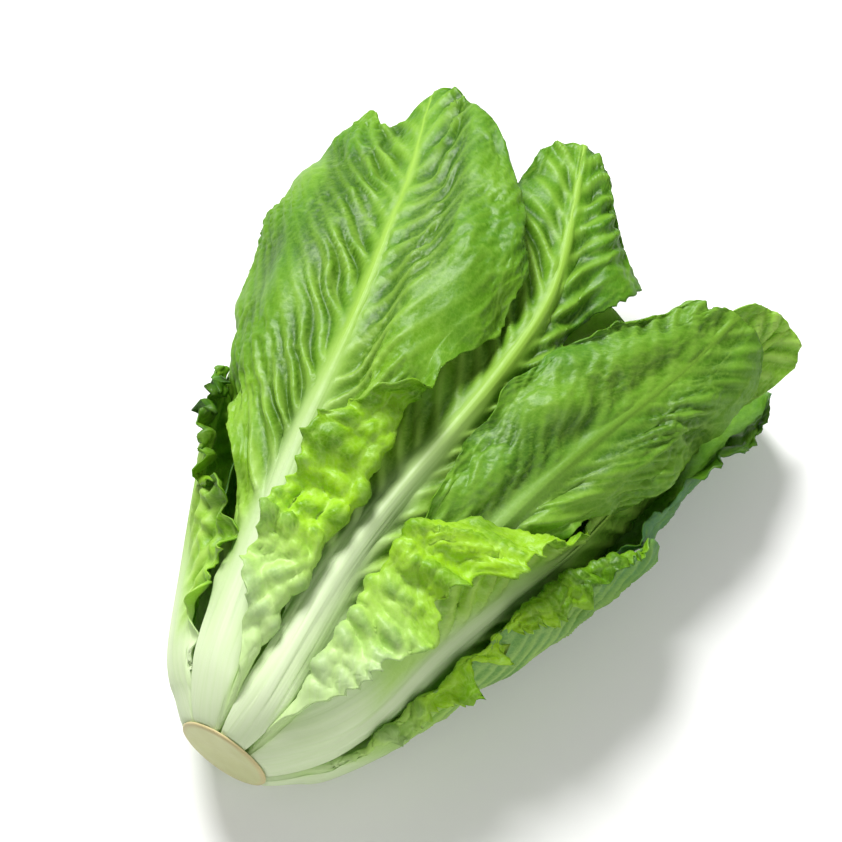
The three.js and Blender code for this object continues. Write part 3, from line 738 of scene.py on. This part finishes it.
def grow_leaf(leaf, detail, material):
    """Builds a leaf as one closed blade, and has it stand for the solid of the same name."""
    rows, columns = detail["grid"]
    outer, inner, across, length, marks = shape_leaf(leaf, detail)
    sheet = bmesh.new()
    bmesh.ops.create_grid(sheet, x_segments=columns - 1, y_segments=rows - 1, size=0.5)
    skin = bmesh.ops.extrude_face_region(sheet, geom=sheet.faces[:], use_keep_orig=True)
    lifted = [part for part in skin["geom"] if isinstance(part, bmesh.types.BMVert)]
    bmesh.ops.translate(sheet, verts=lifted, vec=(0, 0, 1))
    bmesh.ops.recalc_face_normals(sheet, faces=sheet.faces[:])
    mesh = bpy.data.meshes.new("blade_" + leaf["name"])
    sheet.to_mesh(mesh)
    sheet.free()

    flat = np.empty(len(mesh.vertices) * 3)
    mesh.vertices.foreach_get("co", flat)
    flat = flat.reshape(-1, 3)
    row = np.rint((flat[:, 1] + 0.5) * (rows - 1)).astype(int)
    column = np.rint((flat[:, 0] + 0.5) * (columns - 1)).astype(int)
    is_outer = flat[:, 2] > 0.5
    place = np.where(is_outer[:, None], outer[row, column], inner[row, column])
    mesh.vertices.foreach_set("co", (place * MM + np.array(BUTT_CENTRE)).ravel())
    mesh.polygons.foreach_set("use_smooth", [True] * len(mesh.polygons))

    corner = np.empty(len(mesh.loops), dtype=np.int32)
    mesh.loops.foreach_get("vertex_index", corner)
    chart = np.stack([across[row, column], length[row, column]], axis=-1) * MM
    chart[:, 0] += np.where(is_outer, 0.0, 0.5)
    mesh.uv_layers.new(name="leaf_mm").data.foreach_set("uv", chart[corner].ravel())
    for name, grid in marks.items():
        mark = mesh.attributes.new(name, "FLOAT", "POINT")
        shown = grid[row, column] * (is_outer if name == "bloom" else 1)
        mark.data.foreach_set("value", shown.astype(np.float32))
    mesh.materials.append(material)
    mesh.update()

    piece = bpy.data.objects.new("blade_" + leaf["name"], mesh)
    bpy.context.scene.collection.objects.link(piece)
    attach(piece, "root")
    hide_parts(leaf["name"])
    return piece


def add_node(tree, kind, feeds=None, out=0, **settings):
    """Adds a node with its settings and what feeds or fills its sockets, and gives one of its outputs."""
    node = tree.nodes.new("ShaderNode" + kind)
    for name, value in settings.items():
        setattr(node, name, value)
    for socket, value in (feeds or {}).items():
        if isinstance(value, bpy.types.NodeSocket):
            tree.links.new(value, node.inputs[socket])
        else:
            node.inputs[socket].default_value = value
    return node.outputs[out] if node.outputs else node


def new_finish(name):
    material = bpy.data.materials.new(name)
    material.use_nodes = True
    material.node_tree.nodes.clear()
    return material, material.node_tree


def leaf_finish(name, colours, glow):
    """Fresh romaine leaf: a thin blade under a wax film, blanched and stringy at the stalk."""
    # The film gives the blisters a soft sheen, and the thin blade glows yellow green against the light.
    material, tree = new_finish(name)
    chart = add_node(tree, "UVMap", uv_map="leaf_mm")
    place = add_node(tree, "TexCoord", out="Object")
    shares = {}
    for share in ("flesh", "greened", "vein", "young", "hollow", "bloom"):
        shares[share] = add_node(tree, "Attribute", out="Fac", attribute_name=share)

    # Mottling comes in swells of about 12 mm and 3 mm, and the finest veins enclose cells of about 2 mm.
    shares["broad"] = add_node(tree, "TexNoise", {"Vector": place, "Scale": 80.0, "Detail": 3.0})
    fine = add_node(tree, "TexNoise", {"Vector": place, "Scale": 340.0, "Detail": 3.0})
    edge = add_node(tree, "TexVoronoi", {"Vector": chart, "Scale": 480.0}, feature="DISTANCE_TO_EDGE")
    shares["net"] = add_node(tree, "MapRange", {0: edge, 1: 0.0, 2: 0.12, 3: 0.14, 4: 0.0})
    # Stalk flesh runs in strings about 1 mm apart.
    stretched = add_node(tree, "Mapping", {"Vector": chart, "Scale": (900.0, 14.0, 1.0)})
    shares["strings"] = add_node(tree, "TexNoise", {"Vector": stretched, "Scale": 1.0, "Detail": 3.0})

    layers = dict(colours)
    for made, under, over, share in (
        ("grown", "blade_dark", "blade", "broad"),
        ("fresh", "young_dark", "young", "broad"),
        ("open", "grown", "fresh", "young"),
        ("waxed", "open", "bloom", "bloom"),
        # Painted shade: the hollows of the relief get a darker green, deepest where the surface sinks most.
        ("shade_in_hollows", "hollow", "young_hollow", "young"),
        ("relief", "waxed", "shade_in_hollows", "hollow"),
        ("side_vein", "vein", "young_vein", "young"),
        ("veined", "relief", "side_vein", "vein"),
        ("netted", "veined", "side_vein", "net"),
        ("white", "stalk", "stalk_strings", "strings"),
        ("rib", "white", "midrib", "greened"),
        ("whole", "netted", "rib", "flesh"),
    ):
        feeds = {0: shares[share], 6: layers[under], 7: layers[over]}
        layers[made] = add_node(tree, "Mix", feeds, 2, data_type="RGBA")

    rough = add_node(tree, "MapRange", {0: fine, 1: 0.0, 2: 1.0, 3: 0.3, 4: 0.56})
    height = add_node(tree, "Mix", {0: shares["flesh"], 2: fine, 3: shares["strings"]}, data_type="FLOAT")
    bump = add_node(tree, "Bump", {"Strength": 0.45, "Distance": 0.0007, "Height": height})
    feeds = {"Base Color": layers["whole"], "Roughness": rough, "Normal": bump, "IOR": 1.36}
    surface = add_node(tree, "BsdfPrincipled", feeds)
    lit = add_node(tree, "Mix", {0: 0.5, 6: layers["whole"], 7: colours["glow"]}, 2, data_type="RGBA")
    through = add_node(tree, "BsdfTranslucent", {"Color": lit})
    both = add_node(tree, "MixShader", {0: glow, 1: surface, 2: through})
    add_node(tree, "OutputMaterial", {0: both})
    return material


def cut_stem_finish(colours):
    """Cut stem of a lettuce: moist flesh that has dried at its rim."""
    # The cut is matt cream with tan patches and a tan rim, so it reads as dry beside the wet white stalks.
    material, tree = new_finish("cut_stem_flesh")
    place = add_node(tree, "TexCoord", out="Object")
    centred = add_node(tree, "Mapping", {"Vector": place, "Location": tuple(-BUTT_CENTRE)})
    across = add_node(tree, "SeparateXYZ", {0: centred}, "X")
    along_head = add_node(tree, "SeparateXYZ", {0: centred}, "Y")
    above = add_node(tree, "SeparateXYZ", {0: centred}, "Z")
    flat = add_node(tree, "CombineXYZ", {"X": across, "Z": above})
    radius = add_node(tree, "VectorMath", {0: flat}, "Value", operation="LENGTH")
    cloud = add_node(tree, "TexNoise", {"Vector": place, "Scale": 110.0, "Detail": 5.0})
    grain = add_node(tree, "TexNoise", {"Vector": place, "Scale": 900.0, "Detail": 3.0})
    at_rim = add_node(tree, "MapRange", {0: radius, 1: 0.0165, 2: 0.0195, 3: 0.0, 4: 1.0})
    behind = add_node(tree, "MapRange", {0: along_head, 1: 0.0011, 2: 0.002, 3: 0.0, 4: 1.0})
    colour = colours["cut"]
    for share, over in ((cloud, "cut_dark"), (at_rim, "rim"), (behind, "collar")):
        colour = add_node(tree, "Mix", {0: share, 6: colour, 7: colours[over]}, 2, data_type="RGBA")
    height = add_node(tree, "Mix", {0: 0.2, 2: cloud, 3: grain}, data_type="FLOAT")
    bump = add_node(tree, "Bump", {"Strength": 0.35, "Distance": 0.001, "Height": height})
    feeds = {"Base Color": colour, "Roughness": 0.55, "Normal": bump, "Subsurface Weight": 0.15}
    surface = add_node(tree, "BsdfPrincipled", {**feeds, "Subsurface Radius": (0.004, 0.004, 0.002)})
    add_node(tree, "OutputMaterial", {0: surface})
    return material


def colour_property(name, words, code):
    shown = {"name": name, "description": words, "default": linear(code)}
    return FloatVectorProperty(subtype="COLOR", size=4, min=0, max=1, **shown)


class RomaineColours(bpy.types.PropertyGroup):
    """Colours of the head."""

    blade: colour_property("Blade", "Open part of a grown leaf", "#588F07")
    blade_dark: colour_property("Blade mottling", "Darker mottling of a grown leaf", "#3C7302")
    # Painted shade: the dark green painted into the hollows of a grown leaf.
    hollow: colour_property("Blade hollows", "Hollows of a grown leaf", "#1E4B00")
    young: colour_property("Young blade", "Yellow green blade near the stalk", "#AFE026")
    young_dark: colour_property("Young mottling", "Mottling of the yellow green blade", "#8CC408")
    # Painted shade: the green painted into the hollows of the yellow green blade.
    young_hollow: colour_property("Young hollows", "Hollows of the yellow green blade", "#69A103")
    bloom: colour_property("Bloom", "Bluish waxy bloom on the back of a leaf", "#4C8058")
    vein: colour_property("Veins", "Side veins of a grown leaf", "#8FBE3E")
    young_vein: colour_property("Young veins", "Side veins of the yellow green blade", "#CFEF80")
    stalk: colour_property("Stalk", "Blanched stalk", "#EEF6DA")
    stalk_strings: colour_property("Stalk strings", "Greener strings in the stalk", "#DAEDB8")
    midrib: colour_property("Midrib", "Midrib near the tip", "#9CC64A")
    glow: colour_property("Glow", "Light that shines through a blade", "#8FC806")
    cut: colour_property("Cut", "Cut face of the butt", "#C6CB96")
    cut_dark: colour_property("Dried cut", "Dried patches of the cut face", "#B2B37A")
    rim: colour_property("Cut rim", "Tan rim of the cut face", "#BFAE7E")
    collar: colour_property("Collar", "Stem between the cut and the stalks", "#E6EDCB")


class RomaineSizes(bpy.types.PropertyGroup):
    """Sizes that shape the finish."""

    table: FloatProperty(name="Table", description="Width of the pale table", default=3.0, unit="LENGTH")
    translucence: FloatProperty(
        name="Translucence",
        description="Share of light that passes a blade",
        default=0.28,
        min=0,
        max=1,
        subtype="FACTOR",
    )


def palette():
    chosen = bpy.context.scene.romaine_colours
    return {name: tuple(getattr(chosen, name)) for name in RomaineColours.__annotations__}


class ROMAINE_OT_outer_leaves(bpy.types.Operator):
    """Grow the large leaves of the first ring"""

    bl_idname = "romaine.outer_leaves"
    bl_label = "Outer leaves"

    def execute(self, context):
        finish = leaf_finish("grown_romaine_leaf", palette(), context.scene.romaine_sizes.translucence)
        for leaf in LEAVES:
            grow_leaf(leaf, DETAIL[leaf["name"]], finish)
        return {"FINISHED"}


class ROMAINE_OT_inner_leaves(bpy.types.Operator):
    """Grow the closed inner rings and the heart"""

    bl_idname = "romaine.inner_leaves"
    bl_label = "Inner leaves"

    def execute(self, context):
        finish = leaf_finish("young_romaine_leaf", palette(), context.scene.romaine_sizes.translucence)
        for number, leaf in enumerate(INNER_LEAVES):
            grow_leaf(leaf, {**INNER_DETAIL, "seed": 100 + 13 * number}, finish)
        return {"FINISHED"}


class ROMAINE_OT_stem(bpy.types.Operator):
    """Turn the stem with its cut butt"""

    bl_idname = "romaine.stem"
    bl_label = "Stem"

    def execute(self, context):
        rim = BUTT_RADIUS
        # Radius and distance up the axis: the cut, its rim, and a core that steps in where each ring grows.
        profile = [(0, 0.4), (6, 0.3), (12, 0.1), (rim - 1.9, 0)]
        profile += [(rim - 1.1, 0.35), (rim - 0.7, 0.9), (rim - 0.9, 1.3)]
        profile += [(13.6, 1.4), (12.8, 5.0), (12.4, 14), (12.2, 22)]
        profile += [(7.6, 22.1), (7.2, 30), (7, 35.5), (3.4, 35.6), (3, 46), (0, 47.5)]
        turned = bmesh.new()
        ends = [turned.verts.new((radius, height, 0)) for radius, height in profile]
        edges = [turned.edges.new(pair) for pair in zip(ends, ends[1:])]
        bmesh.ops.spin(
            turned,
            geom=ends + edges,
            cent=(0, 0, 0),
            axis=(0, 1, 0),
            angle=2 * math.pi,
            steps=96,
            use_merge=True,
        )
        bmesh.ops.remove_doubles(turned, verts=turned.verts[:], dist=1e-4)
        long_edges = [edge for edge in turned.edges if edge.calc_length() > 3]
        bmesh.ops.subdivide_edges(turned, edges=long_edges, cuts=2, use_grid_fill=True)
        bmesh.ops.recalc_face_normals(turned, faces=turned.faces[:])
        for point in turned.verts:
            radius = math.hypot(point.co.x, point.co.z)
            if point.co.y < 1.35:
                point.co.y += 0.3 * float(ripple(point.co.x, point.co.z, 8, 5)) * max(0.0, 1 - radius / 19)
                out = 1 + 0.012 * float(ripple(point.co.x, point.co.z, 13, 6))
                point.co.x *= out
                point.co.z *= out
        bmesh.ops.scale(turned, vec=(MM, MM, MM), verts=turned.verts[:])
        bmesh.ops.translate(turned, vec=BUTT_CENTRE, verts=turned.verts[:])
        mesh = bpy.data.meshes.new("cut_stem")
        turned.to_mesh(mesh)
        turned.free()
        mesh.polygons.foreach_set("use_smooth", [True] * len(mesh.polygons))
        mesh.materials.append(cut_stem_finish(palette()))
        piece = bpy.data.objects.new("cut_stem", mesh)
        context.scene.collection.objects.link(piece)
        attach(piece, "root")
        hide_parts("stem")
        return {"FINISHED"}


class ROMAINE_OT_stage(bpy.types.Operator):
    """Lay the pale table, hang the soft lamps and set the camera"""

    bl_idname = "romaine.stage"
    bl_label = "Table, lamps and camera"

    def execute(self, context):
        scene = context.scene
        cloth = bmesh.new()
        bmesh.ops.create_grid(cloth, x_segments=1, y_segments=1, size=scene.romaine_sizes.table / 2)
        mesh = bpy.data.meshes.new("pale_table")
        cloth.to_mesh(mesh)
        cloth.free()
        table = bpy.data.objects.new("pale_table", mesh)
        scene.collection.objects.link(table)
        # Matt white paint gives no reflection, only a soft shadow.
        paint = bpy.data.materials.new("matt_white_paint")
        paint.use_nodes = True
        base = paint.node_tree.nodes["Principled BSDF"]
        base.inputs["Base Color"].default_value = linear("#F4F4F3")
        base.inputs["Roughness"].default_value = 0.9
        mesh.materials.append(paint)

        world = bpy.data.worlds.new("soft_room")
        world.use_nodes = True
        world.node_tree.nodes["Background"].inputs[0].default_value = linear("#FAFAF4")
        world.node_tree.nodes["Background"].inputs[1].default_value = 0.3
        scene.world = world
        scene.view_settings.view_transform = "Standard"

        middle = BUTT_CENTRE + Vector((-9.5, 155.9, 17.5)) * MM
        for name, place, size, watts in (
            ("window", (-0.8, 0.6, 1.15), 0.7, 40.0),
            ("reflector", (0.95, -0.5, 0.9), 1.1, 8.0),
        ):
            light = bpy.data.lights.new(name, "AREA")
            light.shape = "DISK"
            light.size = size
            light.energy = watts
            lamp = bpy.data.objects.new(name, light)
            lamp.location = middle + Vector(place)
            lamp.rotation_euler = (-Vector(place)).to_track_quat("-Z", "Y").to_euler()
            scene.collection.objects.link(lamp)

        azimuth, elevation, distance = 32.6 * DEGREE, 61.5 * DEGREE, 1.2
        right = Vector((math.cos(azimuth), math.sin(azimuth), 0))
        back = Vector(
            (
                math.sin(azimuth) * math.cos(elevation),
                -math.cos(azimuth) * math.cos(elevation),
                math.sin(elevation),
            )
        )
        up = back.cross(right)
        camera = bpy.data.objects.new("camera", bpy.data.cameras.new("camera"))
        camera.data.lens = 128.3
        camera.data.sensor_width = 36
        camera.data.clip_end = 20
        turned = Matrix((right, up, back)).transposed().to_4x4()
        camera.matrix_world = Matrix.Translation(middle + back * distance) @ turned
        scene.collection.objects.link(camera)
        scene.camera = camera
        return {"FINISHED"}


OPERATORS = (ROMAINE_OT_stage, ROMAINE_OT_stem, ROMAINE_OT_outer_leaves, ROMAINE_OT_inner_leaves)


class ROMAINE_PT_head(bpy.types.Panel):
    """Panel in the sidebar of the 3D view"""

    bl_label = "Romaine head"
    bl_space_type = "VIEW_3D"
    bl_region_type = "UI"
    bl_category = "Romaine"

    def draw(self, context):
        for operator in OPERATORS:
            self.layout.operator(operator.bl_idname)


CLASSES = (RomaineColours, RomaineSizes, *OPERATORS, ROMAINE_PT_head)


def register():
    for cls in CLASSES:
        bpy.utils.register_class(cls)
    bpy.types.Scene.romaine_colours = bpy.props.PointerProperty(type=RomaineColours)
    bpy.types.Scene.romaine_sizes = bpy.props.PointerProperty(type=RomaineSizes)


def unregister():
    del bpy.types.Scene.romaine_sizes
    del bpy.types.Scene.romaine_colours
    for cls in reversed(CLASSES):
        bpy.utils.unregister_class(cls)


def main():
    register()
    bpy.ops.romaine.stage()
    bpy.ops.romaine.stem()
    bpy.ops.romaine.outer_leaves()
    bpy.ops.romaine.inner_leaves()


if __name__ == "__main__":
    main()
